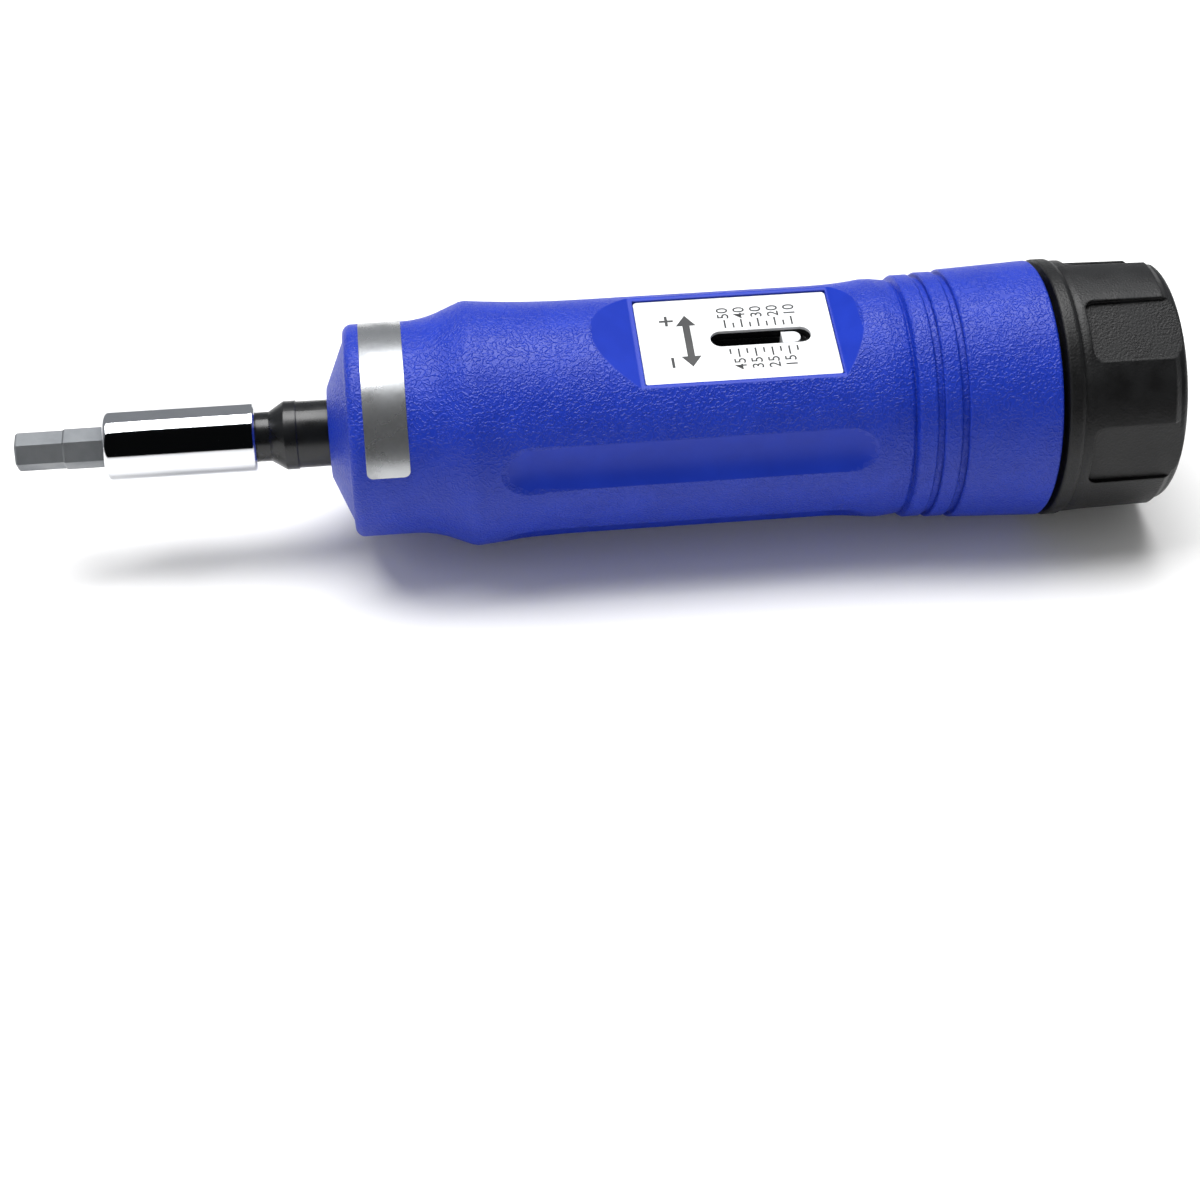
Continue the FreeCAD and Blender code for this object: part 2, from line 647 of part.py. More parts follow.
def make_scale_plate():
    body = new_body("scale_plate")
    sketch = new_sketch(body, "plate_outline", "XY_Plane", ("0", "0", "plate_floor"))
    outline(sketch, box_corners("plate_front", "plate_rear", "-plate_width / 2", "plate_width / 2"))
    slot_outline(sketch, "slot_front", "slot_rear", "slot_width")
    feature(body, "Pad", "plate_sheet", sketch, Length="plate_thickness")
    DOC.recompute()
    corners = [(value(x), value(y)) for x, y in
               box_corners("plate_front", "plate_rear", "-plate_width / 2", "plate_width / 2")]
    base = body.Tip
    edges = []
    for number, edge in enumerate(base.Shape.Edges, 1):
        spots = [(round(v.X, 3), round(v.Y, 3)) for v in edge.Vertexes]
        upright = len(set(spots)) == 1
        if upright and any(math.dist(spots[0], corner) < 0.01 for corner in corners):
            edges.append(f"Edge{number}")
    fillet = body.newObject("PartDesign::Fillet", "plate_corners")
    fillet.Base = (base, edges)
    fillet.setExpression("Radius", linked("plate_corner"))


def make_serial_label():
    body = new_body("serial_label")
    sketch = new_sketch(body, "foil_profile", turn="-foil_start")
    outline(sketch, box_corners("foil_front", "foil_rear", "band_radius", "band_radius + foil_thickness"))
    feature(body, "Revolution", "foil_band", sketch, ReferenceAxis=(sketch, ["H_Axis"]), Angle="foil_angle")


def make_barrel_tube():
    body = new_body("barrel_tube")
    turned(body, "tube_form", [
        ("tube_front", "spindle_radius + nose_gap"),
        ("tube_front", "tube_radius"),
        ("tube_rear", "tube_radius"),
        ("tube_rear", "tube_bore"),
        ("circlip_rear", "tube_bore"),
        ("circlip_rear", "circlip_outer"),
        ("rear_plate_rear", "circlip_outer"),
        ("rear_plate_rear", "tube_bore"),
        ("tube_inside", "tube_bore"),
        ("tube_inside", "spindle_radius + nose_gap"),
    ])

    def tube_slot(sketch):
        slot_outline(sketch, "slot_front + slot_rim", "slot_rear - slot_rim", "slot_width - 2 * slot_rim")

    cut_outward(body, "tube_slot", tube_slot, "tube_bore - tube_wall", "2 * tube_wall + tube_wall")
    sketch = new_sketch(body, "pin_holes_outline", "XZ_Plane")
    ring(sketch, "pin_station", "0", "pin_radius")
    feature(body, "Pocket", "pin_holes", sketch, Length="4 * tube_radius", Midplane=True)


def make_pins():
    """Two radial pins that keep the pressure plate from turning in the tube."""
    for name, side in (("front", 1), ("rear", -1)):
        body = new_body(f"anti_rotation_pin_{name}")
        near = "pin_reach" if side > 0 else "-pin_outer"
        sketch = new_sketch(body, "pin_outline", "XZ_Plane", ("0", "0", near))
        ring(sketch, "pin_station", "0", "pin_radius")
        feature(body, "Pad", "pin_shank", sketch, Length="pin_outer - pin_reach")


def make_guide_key():
    body = new_body("guide_key")

    def section(sketch):
        half = "key_width / 2"
        outline(sketch, box_corners(f"-{half}", half, "-key_outer", "key_height - key_outer"))

    drawn_along(body, "key_bar", section, "key_front", "key_rear - key_front")


def make_retaining_ring():
    body = new_body("retaining_ring")
    turned(body, "circlip_ring", box_corners(
        "rear_plate_rear", "circlip_rear", "circlip_outer - circlip_width", "circlip_outer"))
    sketch = new_sketch(body, "circlip_opening", "YZ_Plane", ("0", "0", "rear_plate_rear"))
    reach = "1.2 * circlip_outer"
    half = "circlip_gap_angle / 2"
    outline(sketch, [
        ("0", "0"),
        (f"{reach} * sin({half})", f"-{reach} * cos({half})"),
        (f"-{reach} * sin({half})", f"-{reach} * cos({half})"),
    ])
    feature(body, "Pocket", "circlip_gap", sketch, Length="circlip_thickness", Reversed=True)


def cut_teeth(body, name, mouth, floor, turn):
    """Radial gaps between face teeth, each narrower at its floor: one gap, repeated round the axis."""
    def gap(sketch):
        low = [(floor, "-tooth_foot"), (mouth, "-tooth_mouth")]
        high = [(mouth, "tooth_mouth"), (floor, "tooth_foot")]
        outline(sketch, low + high)

    cutter = cut_outward(body, name, gap, "lock_inner / 2", "counterbore_radius", turn)
    around(body, f"{name}s", [cutter], "tooth_count")


def make_lock_ring():
    body = new_body("lock_ring")
    turned(body, "lock_ring_form", box_corners("tube_rear", "lock_rear", "lock_inner", "counterbore_radius"))
    cut_teeth(body, "lock_gap", "lock_rear", "lock_rear - tooth_height - tooth_gap", "0")


def make_spindle():
    body = new_body("spindle")
    turned(body, "spindle_form", [
        ("holder_rear", "0"),
        ("holder_rear", "neck_radius"),
        ("cone_front", "neck_radius"),
        ("cone_rear", "spindle_band_radius"),
        ("spindle_band_rear", "spindle_band_radius"),
        ("spindle_band_rear", "spindle_radius"),
        ("flange_front", "spindle_radius"),
        ("flange_front", "flange_radius"),
        ("flange_rear", "flange_radius"),
        ("flange_rear", "pilot_radius"),
        ("flange_rear + pilot_length", "pilot_radius"),
        ("flange_rear + pilot_length", "0"),
    ])
    drawn_along(body, "square_drive", lambda sketch: square(sketch, "drive_across"), "drive_front",
                "drive_length")
    hole_floor = "drive_across / 2 - detent_depth"
    sketch = new_sketch(body, "detent_hole_outline", "XY_Plane", ("0", "0", hole_floor))
    ring(sketch, "detent_station", "0", "detent_ball_radius + running_gap")
    feature(body, "Pocket", "detent_hole", sketch, Length="detent_depth", Reversed=True)
    roller_groove(body, "cam_groove", "flange_rear - groove_sink + roller_radius + roller_gap")


def roller_groove(body, name, station):
    """A round-bottomed radial groove, repeated once for each clutch roller."""
    start = "roller_circle - roller_length / 2 - roller_gap"
    sketch = new_sketch(body, f"{name}_section", "XY_Plane", ("0", "0", start))
    ring(sketch, station, "0", "roller_radius + roller_gap")
    cutter = feature(body, "Pocket", name, sketch, Length="roller_length + 2 * roller_gap", Reversed=True)
    around(body, f"{name}s", [cutter], "roller_count")


def make_bit_holder():
    body = new_body("bit_holder")
    turned(body, "holder_form", box_corners("holder_front", "holder_rear", "0", "holder_radius"))
    rounded(body, "mouth_edge", "holder_front_round", ("holder_front", "holder_radius"))
    rounded(body, "rear_edge", "holder_rear_bevel", ("holder_rear", "holder_radius"), kind="Chamfer")
    drawn_along(body, "hex_socket", lambda sketch: hexagon(sketch, "hex_across + 2 * socket_gap", "bit_turn"),
                "holder_front", "magnet_rear - holder_front", cut=True)
    drawn_along(body, "square_socket", lambda sketch: square(sketch, "drive_across + 2 * socket_gap"),
                "drive_front", "drive_length", cut=True)
    sketch = new_sketch(body, "detent_recess_outline", "XY_Plane", ("0", "0", "0"))
    ring(sketch, "detent_station", "0", "detent_ball_radius + socket_gap")
    recess_top = "drive_across / 2 + 2 * detent_proud"
    feature(body, "Pocket", "detent_recess", sketch, Length=recess_top, Reversed=True)


def make_hex_bit():
    body = new_body("hex_bit")
    drawn_along(body, "bit_shank", lambda sketch: hexagon(sketch, "hex_across", "bit_turn"),
                "bit_front + bit_tip_length + bit_step", "bit_length - bit_tip_length - bit_step")
    lower = new_sketch(body, "bit_step_rear", "YZ_Plane",
                       ("0", "0", "bit_front + bit_tip_length + bit_step"))
    hexagon(lower, "hex_across", "bit_turn")
    upper = new_sketch(body, "bit_step_front", "YZ_Plane", ("0", "0", "bit_front + bit_tip_length"))
    hexagon(upper, "bit_tip_across", "bit_turn")
    step = body.newObject("PartDesign::AdditiveLoft", "bit_step_slope")
    step.Profile = lower
    step.Sections = [upper]
    step.Ruled = True
    drawn_along(body, "bit_tip", lambda sketch: hexagon(sketch, "bit_tip_across", "bit_turn"),
                "bit_front", "bit_tip_length")
    DOC.recompute()
    base = body.Tip
    ends = [value("bit_front"), value("bit_rear")]
    edges = []
    for number, edge in enumerate(base.Shape.Edges, 1):
        if any(all(abs(v.X - end) < 0.001 for v in edge.Vertexes) for end in ends):
            edges.append(f"Edge{number}")
    bevel = body.newObject("PartDesign::Chamfer", "bit_end_bevels")
    bevel.Base = (base, edges)
    bevel.setExpression("Size", linked("bit_bevel"))


def make_detent_ball():
    body = new_body("detent_ball")
    sketch = new_sketch(body, "detent_ball_profile", offset=("0", "detent_seat", "0"))
    half_disc(sketch, "detent_station", "detent_ball_radius")
    feature(body, "Revolution", "detent_ball_form", sketch, ReferenceAxis=(sketch, ["H_Axis"]), Angle=360.0)


def make_clutch_rollers():
    """Rollers that lie radially between the cam flange and the pressure plate."""
    for n in range(SIZES["roller_count"][0]):
        body = new_body(f"clutch_roller_{n + 1}")
        turn = f"(360 * {n} / roller_count)"
        start = "(roller_circle - roller_length / 2)"
        offset = ("0", f"-{start} * sin({turn})", f"{start} * cos({turn})")
        sketch = new_sketch(body, "roller_section", "XY_Plane", offset, turn)
        ring(sketch, "roller_station", "0", "roller_radius")
        feature(body, "Pad", "roller", sketch, Length="roller_length")


def make_detent_spring():
    body = new_body("detent_spring")
    foot = "drive_across / 2 - detent_depth"
    top = "detent_seat - detent_ball_radius"
    outside = "detent_station + detent_ball_radius - detent_wire / 2"
    corners = box_corners(f"{outside} - detent_wire", outside, foot, f"{foot} + detent_wire")
    coil(body, "detent_coil", corners, f"{top} - ({foot}) - detent_wire", "detent_turns", "detent_station")


def make_pressure_plate():
    body = new_body("pressure_plate")
    turned(body, "pressure_form", box_corners(
        "pressure_front", "pressure_rear", "pilot_radius + 2 * running_gap", "slide_radius"))
    roller_groove(body, "roller_seat", "roller_station")

    def rim_slot(sketch):
        half = "pin_radius + key_gap"
        deep = "pin_reach - key_gap"
        outline(sketch, box_corners(deep, "tube_radius", f"-({half})", half))

    slot = drawn_along(body, "rim_slot", rim_slot, "pressure_front", "pressure_thickness", cut=True)
    around(body, "rim_slots", [slot], "2")


def make_spring_seat():
    body = new_body("spring_seat")
    inner = "screw_radius + thread_gap"
    boss = "coil_radius - wire_width / 2 - slide_gap"
    turned(body, "seat_form", [
        ("pressure_rear", inner),
        ("pressure_rear", "slide_radius"),
        ("seat_rear", "slide_radius"),
        ("seat_rear", boss),
        ("seat_rear + seat_boss_length", boss),
        ("seat_rear + seat_boss_length", inner),
    ])


def make_main_spring():
    body = new_body("main_spring")
    start = "seat_rear + coil_gap"
    corners = box_corners(start, f"{start} + wire_width", "coil_radius - wire_width / 2",
                          "coil_radius + wire_width / 2")
    coil(body, "main_coil", corners, f"nut_front - coil_gap - wire_width - ({start})", "coil_turns", "0")


def cut_keyway(body, name, front, length, floor):
    """A keyway along the bottom of a piece that slides on the guide key."""
    def section(sketch):
        half = "key_width / 2 + key_gap"
        outline(sketch, box_corners(f"-({half})", half, "-tube_radius", f"-({floor})"))

    drawn_along(body, name, section, front, length, cut=True)


def make_indicator_sleeve():
    body = new_body("indicator_sleeve")
    turned(body, "sleeve_form", box_corners("sleeve_front", "sleeve_rear", "sleeve_bore", "slide_radius"))
    cut_keyway(body, "sleeve_keyway", "sleeve_front", "sleeve_length", "sleeve_bore / 2")


def make_indicator_nut():
    body = new_body("indicator_nut")
    bore = "screw_radius + thread_gap"
    turned(body, "nut_form", [
        ("nut_front", bore),
        ("nut_front", "sleeve_bore"),
        ("sleeve_rear", "sleeve_bore"),
        ("sleeve_rear", "slide_radius"),
        ("nut_rear", "slide_radius"),
        ("nut_rear", bore),
    ])
    cut_keyway(body, "nut_keyway", "nut_front", "nut_length", "key_outer - key_height - key_gap")


def make_adjusting_screw():
    body = new_body("adjusting_screw")
    turned(body, "screw_form", [
        ("screw_front", "0"),
        ("screw_front", "screw_radius"),
        ("collar_front", "screw_radius"),
        ("collar_front", "collar_radius"),
        ("collar_rear", "collar_radius"),
        ("collar_rear", "journal_radius"),
        ("circlip_rear", "journal_radius"),
        ("circlip_rear", "0"),
    ])
    drawn_along(body, "screw_tail", lambda sketch: hexagon(sketch, "tail_across"), "circlip_rear",
                "screw_rear - (circlip_rear)")
    drawn_along(body, "screw_hole", lambda sketch: ring(sketch, "0", "0", "end_screw_radius"),
                "head_front - end_screw_length", "end_screw_length", cut=True)
    rounded(body, "screw_nose", "end_gap * 8", ("screw_front", "screw_radius"), kind="Chamfer")


def make_end_screw():
    body = new_body("end_screw")
    turned(body, "end_screw_form", [
        ("head_front - end_screw_length", "0"),
        ("head_front - end_screw_length", "end_screw_radius"),
        ("head_front", "end_screw_radius"),
        ("head_front", "end_head_radius"),
        ("head_front + end_head_length", "end_head_radius"),
        ("head_front + end_head_length", "0"),
    ])
    depth = "end_head_length / 2"
    drawn_along(body, "end_screw_socket", lambda sketch: hexagon(sketch, "end_key_across"),
                f"head_front + {depth}", depth, cut=True)


def make_knob():
    body = new_body("knob")
    web_hole = "lock_inner - ring_section"
    turned(body, "knob_form", [
        ("boss_front", "boss_radius"),
        ("knob_front", "boss_radius"),
        ("knob_front", "knob_radius"),
        ("knob_collar_rear", "knob_radius"),
        ("knob_collar_rear + knob_dip_length", "knob_dip_radius"),
        ("knob_collar_rear + 2.5 * knob_dip_length", "lobe_front_radius"),
        ("knob_rear - knob_end_round - knob_chamfer_length", "lobe_rear_radius"),
        ("knob_rear - knob_end_round", "knob_end_radius"),
        ("knob_rear", "knob_end_radius - knob_end_round"),
        ("knob_rear", "cap_radius"),
        ("cap_front", "cap_radius"),
        ("cap_front", "cavity_radius"),
        ("web_rear", "cavity_radius"),
        ("web_rear", "0"),
        ("web_front", "0"),
        ("web_front", web_hole),
        ("boss_front", web_hole),
    ], {7: ("knob_end_round", -1)})
    rounded(body, "knob_edges", "edge_break", ("knob_front", "knob_radius"),
            ("knob_collar_rear", "knob_radius"), kind="Chamfer")
    groove = "ring_section * 2"
    turned(body, "o_ring_groove", box_corners(
        f"ring_station - {groove} / 2 - running_gap", f"ring_station + {groove} / 2 + running_gap",
        f"counterbore_radius - slide_gap / 2 - {groove}", "counterbore_radius + boss_gap"), cut=True)
    cut_teeth(body, "boss_tooth_gap", "boss_front", "boss_front + tooth_height + tooth_gap",
              "180 / tooth_count")
    drawn_along(body, "hex_hole", lambda sketch: hexagon(sketch, "tail_across + 2 * socket_gap"),
                "web_front", "web_thickness", cut=True)

    def recess(sketch):
        half, corner = "recess_half_width", "recess_corner"
        rear = "knob_rear + recess_corner"
        outline(sketch, [
            (f"recess_front + {corner}", f"-{half}"),
            (rear, f"-{half}"),
            (rear, half),
            (f"recess_front + {corner}", half),
            ("recess_front", f"{half} - {corner}"),
            ("recess_front", f"{corner} - {half}"),
        ], {3: (corner, 1), 5: (corner, 1)})

    cutter = cut_outward(body, "recess", recess, "recess_distance", "knob_radius", "knob_turn")
    around(body, "recesses", [cutter], "recess_count")


def make_o_ring():
    """O-ring that lies in the knob's groove, with an eight-sided section."""
    body = new_body("lock_o_ring")
    middle = "counterbore_radius - slide_gap / 2 - ring_section"
    reach = "ring_section / cos(22.5)"
    corners = []
    for n in range(8):
        angle = 22.5 + 45 * n
        corners.append((f"ring_station + {reach} * cos({angle})", f"{middle} + {reach} * sin({angle})"))
    turned(body, "o_ring_form", corners)


def build():
    """Make every piece, from the bit at the front to the cap at the rear."""
    make_hex_bit()
    make_bit_holder()
    simple_disc("holder_magnet", "bit_rear", "magnet_rear", "magnet_radius")
    make_spindle()
    make_detent_spring()
    make_detent_ball()
    make_handle_shell()
    make_scale_plate()
    make_serial_label()
    make_barrel_tube()
    bush_bore = "spindle_radius + running_gap"
    simple_ring("nose_bush", "nose_lip", "tube_front", bush_bore, "spindle_radius + bush_wall")
    simple_ring("thrust_washer", "tube_inside", "tube_inside + washer_thickness",
                "spindle_radius + 2 * running_gap", "flange_radius")
    make_pins()
    make_guide_key()
    make_pressure_plate()
    make_clutch_rollers()
    make_spring_seat()
    make_main_spring()
    make_indicator_sleeve()
    make_indicator_nut()
    make_adjusting_screw()
    simple_ring("rear_washer", "rear_washer_front", "rear_plate_front", "journal_radius + 2 * running_gap",
                "slide_radius")
    simple_ring("rear_bearing_plate", "rear_plate_front", "rear_plate_rear", "journal_radius + running_gap",
                "tube_bore")
    make_retaining_ring()
    make_lock_ring()
    make_knob()
    make_o_ring()
    simple_ring("end_washer", "screw_rear", "head_front", "end_screw_radius + running_gap",
                "end_washer_radius")
    make_end_screw()
    simple_disc("end_cap", "cap_front", "cap_rear", "cap_radius")


def simple_disc(label, front, rear, radius):
    """A plain turned disc."""
    body = new_body(label)
    turned(body, f"{label}_disc", box_corners(front, rear, "0", radius))
    return body


def check_and_export():
    """Stop on any failed object or bad shape, then write one file for each piece."""
    failed = [item.Label for item in DOC.Objects if {"Invalid", "Error"} & set(item.State)]
    if failed:
        raise RuntimeError(f"failed objects: {failed}")
    os.makedirs("parts", exist_ok=True)
    for body in NODES:
        shape = body.Shape
        if shape.isNull() or not shape.isValid() or not shape.Solids:
            raise RuntimeError(f"{body.Label} has no sound shape")
    for body in NODES:
        body.Shape.exportStep(f"parts/{body.Label}.step")


fill_sheet()
build()
DOC.recompute()
check_and_export()
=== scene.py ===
"""Looks of the adjustable torque screwdriver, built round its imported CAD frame.

Lengths are in metres in the part's own frame: the driver's axis lies along X, its bit points to -X
and the floor is at Z = 0. Angles round the axis are degrees from +Z towards the near side at -Y.
"""

import logging
import math
from dataclasses import dataclass, field
from enum import Enum

import bmesh
import bpy
from mathutils import Matrix, Vector


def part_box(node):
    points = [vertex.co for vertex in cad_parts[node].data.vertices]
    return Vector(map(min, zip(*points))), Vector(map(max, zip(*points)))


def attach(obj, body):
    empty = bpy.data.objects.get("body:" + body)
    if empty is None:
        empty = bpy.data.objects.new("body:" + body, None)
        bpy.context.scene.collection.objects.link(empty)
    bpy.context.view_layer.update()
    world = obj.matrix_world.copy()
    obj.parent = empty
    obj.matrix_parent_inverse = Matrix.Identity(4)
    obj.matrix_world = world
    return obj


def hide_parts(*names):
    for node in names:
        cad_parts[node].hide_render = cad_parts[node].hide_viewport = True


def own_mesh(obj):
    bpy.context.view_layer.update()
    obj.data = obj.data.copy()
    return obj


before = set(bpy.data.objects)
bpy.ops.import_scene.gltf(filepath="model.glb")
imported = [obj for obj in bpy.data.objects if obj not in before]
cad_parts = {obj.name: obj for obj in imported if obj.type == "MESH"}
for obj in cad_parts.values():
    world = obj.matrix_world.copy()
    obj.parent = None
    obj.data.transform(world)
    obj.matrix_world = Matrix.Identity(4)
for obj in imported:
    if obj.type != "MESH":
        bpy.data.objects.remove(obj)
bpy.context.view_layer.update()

LOG = logging.getLogger("torque_screwdriver")
MM = 0.001

# How far the driver lies rolled towards the near side, in degrees.
ROLL = 11.0

# Sockets of the colour mix node that share their names with sockets of other types.
MIX_FIRST, MIX_SECOND, MIX_RESULT = 6, 7, 2

Colour = tuple[float, float, float, float]
Node = bpy.types.Node
Tree = bpy.types.NodeTree
Piece = bpy.types.Object


class Finish(Enum):
    """Material names: the real material and its process."""

    BLUE_ABS = "blue ABS, injection moulded with a leather grain"
    BLUE_ABS_SMOOTH = "blue ABS, injection moulded against a polished tool"
    BLACK_NYLON = "glass-filled black nylon, spark-eroded grain"
    CHROME = "bright chrome plate on turned steel"
    BLACK_OXIDE = "black oxide on turned steel"
    TOOL_STEEL = "tool steel, hardened and phosphated"
    GROUND_STEEL = "bearing steel, ground"
    SPRING_WIRE = "spring wire, oiled"
    NICKEL = "dull nickel plate on turned steel"
    BRONZE = "sintered bronze"
    PLATE = "white polyester sheet, matt laminated"
    INK = "black screen ink"
    FOIL = "silver polyester foil, brushed"
    MAGNET = "nickel plate on a magnet"
    RUBBER = "nitrile rubber, moulded"
    FLOOR = "painted studio floor"


def linear(hexadecimal: str) -> Colour:
    """Turn an sRGB colour such as "#1f3fc8" into linear light.

    Args:
        hexadecimal: the colour as #rrggbb.
    Returns:
        Linear red, green and blue, and an alpha of 1.
    """
    parts = [int(hexadecimal[n:n + 2], 16) / 255 for n in (1, 3, 5)]
    curve = [p / 12.92 if p <= 0.04045 else ((p + 0.055) / 1.055) ** 2.4 for p in parts]
    return (curve[0], curve[1], curve[2], 1.0)


# ---------------------------------------------------------------------------------------------
# Materials


def put(tree: Tree, kind: str, links: dict | None = None, **settings: object) -> Node:
    """Add one node with its settings and the links into it.

    Args:
        tree: the node tree.
        kind: the node's type, without its ShaderNode prefix.
        links: input name or number, to the output socket that feeds it.
        settings: socket values (by name, spaces as underscores) or node properties.
    Returns:
        The node.
    """
    node = tree.nodes.new(f"ShaderNode{kind}")
    for key, value in settings.items():
        socket = node.inputs.get(key.replace("_", " "))
        if socket is None:
            setattr(node, key, value)
        else:
            socket.default_value = value
    for name, source in (links or {}).items():
        tree.links.new(source, node.inputs[name])
    return node


def coordinates(tree: Tree, stretch: tuple[float, float, float] = (1, 1, 1)) -> bpy.types.NodeSocket:
    """Object coordinates, stretched along the axes.

    Args:
        tree: the node tree.
        stretch: factors along X, Y and Z.
    Returns:
        The vector socket.
    """
    spot = put(tree, "TexCoord").outputs["Object"]
    return put(tree, "Mapping", {"Vector": spot}, Scale=stretch).outputs["Vector"]


def noise(tree: Tree, size: float, detail: float = 2.0,
          stretch: tuple[float, float, float] = (1, 1, 1)) -> bpy.types.NodeSocket:
    """Noise whose features are about one size across.

    Args:
        tree: the node tree.
        size: width of a feature in metres.
        detail: octaves.
        stretch: factors along X, Y and Z.
    Returns:
        The value socket, from 0 to 1.
    """
    node = put(tree, "TexNoise", {"Vector": coordinates(tree, stretch)}, Scale=1 / size, Detail=detail)
    return node.outputs["Fac"]


def spread(tree: Tree, source: bpy.types.NodeSocket, low: float, high: float,
           near: float = 0.0, far: float = 1.0) -> bpy.types.NodeSocket:
    """Map a value's range from near..far onto low..high.

    Args:
        tree: the node tree.
        source: the value.
        low: result at near.
        high: result at far.
        near: start of the value's range.
        far: end of the value's range.
    Returns:
        The mapped value.
    """
    node = put(tree, "MapRange", {"Value": source}, From_Min=near, From_Max=far, To_Min=low, To_Max=high)
    return node.outputs["Result"]


def blend(tree: Tree, factor: bpy.types.NodeSocket, first: Colour, second: Colour) -> bpy.types.NodeSocket:
    """Mix two colours by a factor.

    Args:
        tree: the node tree.
        factor: 0 gives the first colour and 1 the second.
        first: a linear colour.
        second: a linear colour.
    Returns:
        The colour socket.
    """
    node = put(tree, "Mix", {0: factor}, data_type="RGBA")
    node.inputs[MIX_FIRST].default_value = first
    node.inputs[MIX_SECOND].default_value = second
    return node.outputs[MIX_RESULT]


def relief(tree: Tree, height: bpy.types.NodeSocket, depth: float, strength: float = 1.0,
           under: bpy.types.NodeSocket | None = None) -> bpy.types.NodeSocket:
    """Bump from a height.

    Args:
        tree: the node tree.
        height: the height, from 0 to 1.
        depth: what 1 stands for, in metres.
        strength: share of the bump that shows.
        under: a normal that the bump is added to.
    Returns:
        The normal socket.
    """
    links = {"Height": height}
    if under is not None:
        links["Normal"] = under
    return put(tree, "Bump", links, Distance=depth, Strength=strength).outputs["Normal"]


@dataclass(frozen=True)
class Surface:
    """One finish: its colours, its gloss and the relief of its process.

    colour and worn are mixed in soft patches of wear_size, and the roughness varies with them by
    gloss_spread. grain_depth is the height of a relief of grain_size, drawn out by grain_stretch.
    edge_radius rounds the sharp edges, so that each catches a thin line of light.
    """

    finish: Finish
    colour: str
    worn: str
    roughness: float
    metal: float = 0.0
    wear_size: float = 6.0 * MM
    grain_size: float = 0.4 * MM
    grain_depth: float = 0.01 * MM
    grain_stretch: tuple[float, float, float] = (1, 1, 1)
    gloss_spread: float = 0.08
    edge_radius: float = 0.15 * MM
    shine: float = 0.5
    patch_range: tuple[float, float] = (0.42, 0.68)
    gloss_range: tuple[float, float] = (0.3, 0.7)
    wear_detail: float = 5.0
    grain_detail: float = 3.0
    edge_samples: int = 6

    def grain(self, tree: Tree) -> bpy.types.NodeSocket:
        """Height of the fine relief.

        Args:
            tree: the material's node tree.
        Returns:
            The height socket, from 0 to 1.
        """
        return noise(tree, self.grain_size, self.grain_detail, self.grain_stretch)

    def make(self) -> bpy.types.Material:
        """Build the material.

        Returns:
            The material, named by its finish.
        """
        material = bpy.data.materials.new(self.finish.value)
        material.use_nodes = True
        tree = material.node_tree
        tree.nodes.clear()
        wear = noise(tree, self.wear_size, self.wear_detail)
        patch = spread(tree, wear, 0.0, 1.0, *self.patch_range)
        colour = blend(tree, patch, linear(self.colour), linear(self.worn))
        gloss = spread(tree, wear, self.roughness - self.gloss_spread, self.roughness + self.gloss_spread,
                       *self.gloss_range)
        rounded = put(tree, "Bevel", Radius=self.edge_radius, samples=self.edge_samples).outputs["Normal"]
        normal = relief(tree, self.grain(tree), self.grain_depth, under=rounded)
        shader = put(tree, "BsdfPrincipled",
                     {"Base Color": colour, "Roughness": gloss, "Normal": normal},
                     Metallic=self.metal, Specular_IOR_Level=self.shine)
        put(tree, "OutputMaterial", {"Surface": shader.outputs["BSDF"]})
        return material


@dataclass(frozen=True)
class LeatherGrain(Surface):
    """Moulded leather grain: short wandering ridges that break up the highlight."""

    ridge_size: float = 0.85 * MM
    ridge_detail: float = 1.5
    ridge_middle: float = 0.5
    ridge_width: float = 0.11
    pores_per_ridge: float = 3.0
    pore_detail: float = 1.0
    pore_share: float = 0.35

    def grain(self, tree: Tree) -> bpy.types.NodeSocket:
        """Ridges where a noise crosses its middle, with finer pores between them.

        Args:
            tree: the material's node tree.
        Returns:
            The height socket.
        """
        source = noise(tree, self.ridge_size, self.ridge_detail)
        offset = put(tree, "Math", {0: source}, operation="SUBTRACT")
        offset.inputs[1].default_value = self.ridge_middle
        fold = put(tree, "Math", {0: offset.outputs[0]}, operation="ABSOLUTE").outputs[0]
        ridge = spread(tree, fold, 1.0, 0.0, 0.0, self.ridge_width)
        pores = noise(tree, self.ridge_size / self.pores_per_ridge, self.pore_detail)
        mixed = put(tree, "Math", {0: pores, 2: ridge}, operation="MULTIPLY_ADD")
        mixed.inputs[1].default_value = self.pore_share
        return mixed.outputs[0]


